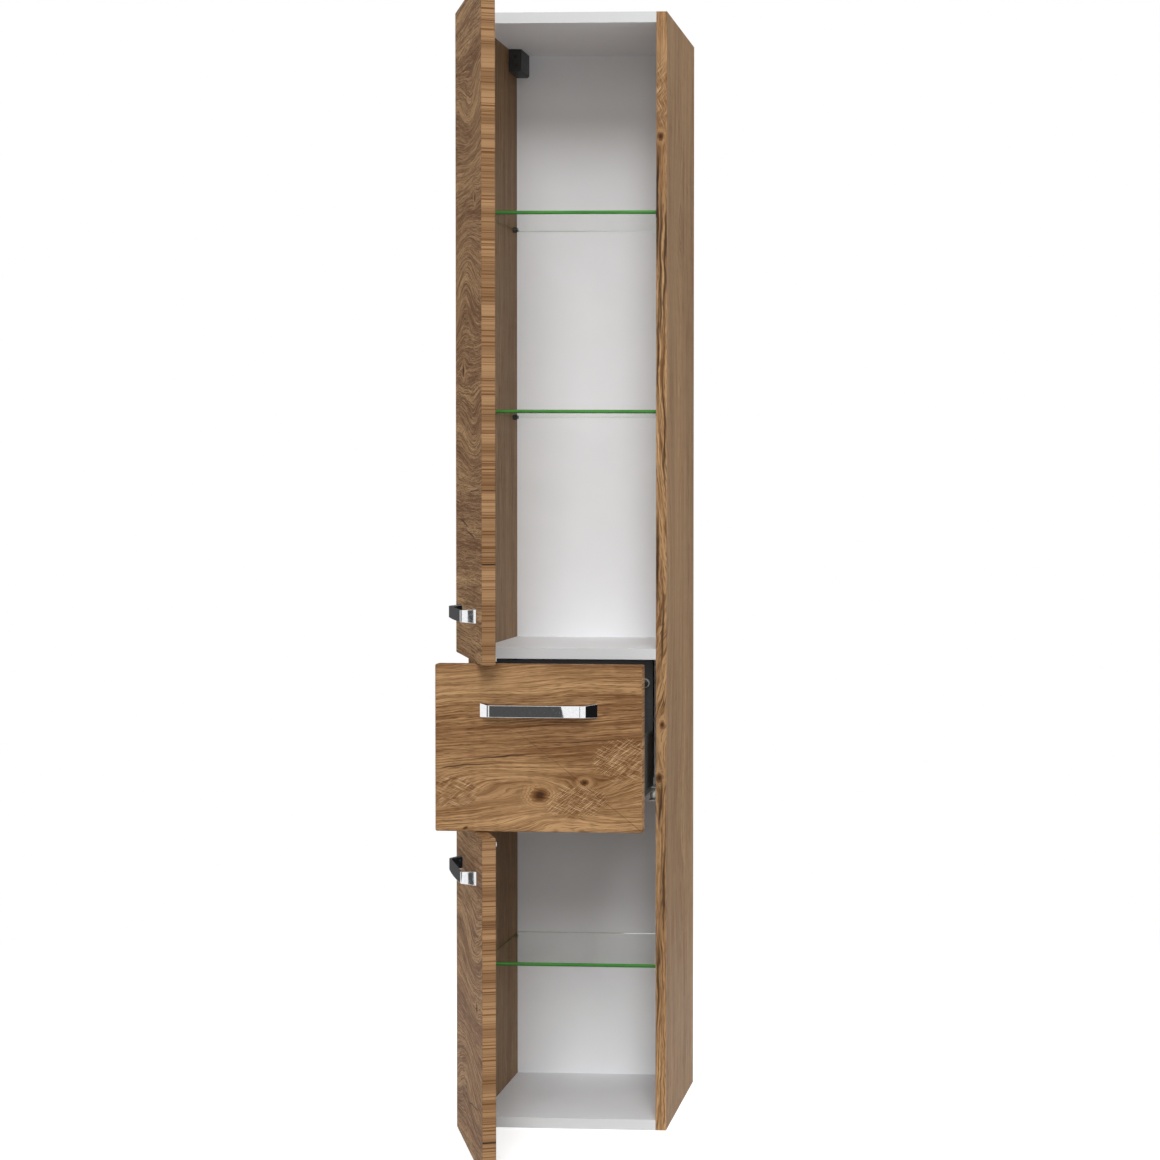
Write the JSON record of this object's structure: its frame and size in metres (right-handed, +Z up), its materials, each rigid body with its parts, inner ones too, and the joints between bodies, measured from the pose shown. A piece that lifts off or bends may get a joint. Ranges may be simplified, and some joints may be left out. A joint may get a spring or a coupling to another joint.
{
  "type": "bathroom storage tower",
  "caption": "Tall narrow bathroom cabinet with a hinged door above and below a drawer, glass shelves, bow handles and hidden wall hangers.",
  "frame": {"origin": "centre of the carcass's bottom face", "axes": "+Z up along the carcass's height, +X across the width towards the side with no hinges, +Y to the back towards the wall, so the fronts face -Y"},
  "size_m": [0.3593, 0.6768, 1.9],
  "materials": {
    "side_decor": "satin",
    "front_decor": "satin",
    "white_board": "satin",
    "glass": "polished",
    "dark_plastic": "matte",
    "black_zinc": "satin",
    "zinc": "satin",
    "beech": "matte",
    "plated_steel": "polished",
    "runner_steel": "satin",
    "chrome": "polished",
    "clear_bumper": "matte",
    "drawer_steel": "satin",
    "drawer_board": "satin",
    "grey_plastic": "satin",
    "nylon": "satin"
  },
  "bodies": {
    "carcass": {"side_panel_left": "side_decor", "side_panel_right": "side_decor", "top_panel": "white_board", "middle_panel": "white_board", "bottom_panel": "white_board", "back_panel": "white_board", "glass_shelf_high": "glass", "glass_shelf_mid": "glass", "glass_shelf_low": "glass", "shelf_supports": "dark_plastic", "cam_locks": "zinc", "cam_bolts": "zinc", "wood_dowels": "beech", "hanger_housings": "dark_plastic", "hanger_screws": "black_zinc", "hanger_hooks": "plated_steel", "wall_plates": "plated_steel", "hinge_plates": "plated_steel", "hinge_plate_screws": "zinc", "hinge_arms": "plated_steel", "hinge_arm_screws": "zinc", "hinge_pins": "plated_steel", "runner_rail_left": "runner_steel", "runner_rail_right": "runner_steel", "runner_screws": "zinc", "front_roller_axles": "plated_steel"},
    "upper_door": {"upper_door_panel": "front_decor", "upper_door_handle": "chrome", "upper_door_handle_screws": "zinc", "upper_door_hinge_cups": "plated_steel", "upper_door_cup_screws": "zinc", "upper_door_bumpers": "clear_bumper"},
    "lower_door": {"lower_door_panel": "front_decor", "lower_door_handle": "chrome", "lower_door_handle_screws": "zinc", "lower_door_hinge_cups": "plated_steel", "lower_door_cup_screws": "zinc", "lower_door_bumpers": "clear_bumper"},
    "drawer": {"drawer_front": "front_decor", "drawer_handle": "chrome", "drawer_handle_screws": "zinc", "drawer_bumpers": "clear_bumper", "drawer_side_left": "drawer_steel", "drawer_side_right": "drawer_steel", "drawer_bottom": "drawer_board", "drawer_back": "drawer_board", "gallery_rail_left": "drawer_steel", "gallery_rail_right": "drawer_steel", "rail_holders": "grey_plastic", "drawer_front_brackets": "plated_steel", "drawer_rear_brackets": "plated_steel", "drawer_bracket_screws": "zinc", "drawer_bottom_screws": "zinc", "rear_roller_axles": "plated_steel"},
    "upper_hinge_links": {"upper_hinge_links": "plated_steel"},
    "lower_hinge_links": {"lower_hinge_links": "plated_steel"},
    "front_rollers": {"front_rollers": "nylon"},
    "rear_rollers": {"rear_rollers": "nylon"}
  },
  "joints": [
    {"name": "upper_door_hinge", "type": "hinge", "parent": "carcass", "child": "upper_door", "pos_m": [-0.1675, -0.177, 1.35725], "axis": [0, 0, -1], "range_deg": [-70.4, 24.6]},
    {"name": "lower_door_hinge", "type": "hinge", "parent": "carcass", "child": "lower_door", "pos_m": [-0.1675, -0.177, 0.2722], "axis": [0, 0, -1], "range_deg": [-70.4, 24.6]},
    {"name": "upper_link_turn", "type": "hinge", "parent": "carcass", "child": "upper_hinge_links", "pos_m": [-0.1498, -0.181, 1.35725], "axis": [0, 0, -1], "range_deg": [-109, 39]},
    {"name": "lower_link_turn", "type": "hinge", "parent": "carcass", "child": "lower_hinge_links", "pos_m": [-0.1498, -0.181, 0.2722], "axis": [0, 0, -1], "range_deg": [-109, 39]},
    {"name": "drawer_slide", "type": "slide", "parent": "carcass", "child": "drawer", "axis": [0, -1, 0], "range_m": [-0.23, 0]},
    {"name": "front_roller_spin", "type": "hinge", "parent": "carcass", "child": "front_rollers", "pos_m": [0, -0.156, 0.5747], "axis": [1, 0, 0], "range_deg": [-1470, 5]},
    {"name": "rear_roller_spin", "type": "hinge", "parent": "drawer", "child": "rear_rollers", "pos_m": [0, -0.128, 0.5747], "axis": [1, 0, 0], "range_deg": [-1470, 5]}
  ],
  "couplings": [
    {"joint": "upper_link_turn", "follows": "upper_door_hinge", "ratio": 1.53},
    {"joint": "lower_link_turn", "follows": "lower_door_hinge", "ratio": 1.53},
    {"joint": "front_roller_spin", "follows": "drawer_slide", "rad_per_m": 111.11},
    {"joint": "rear_roller_spin", "follows": "drawer_slide", "rad_per_m": 111.11}
  ]
}
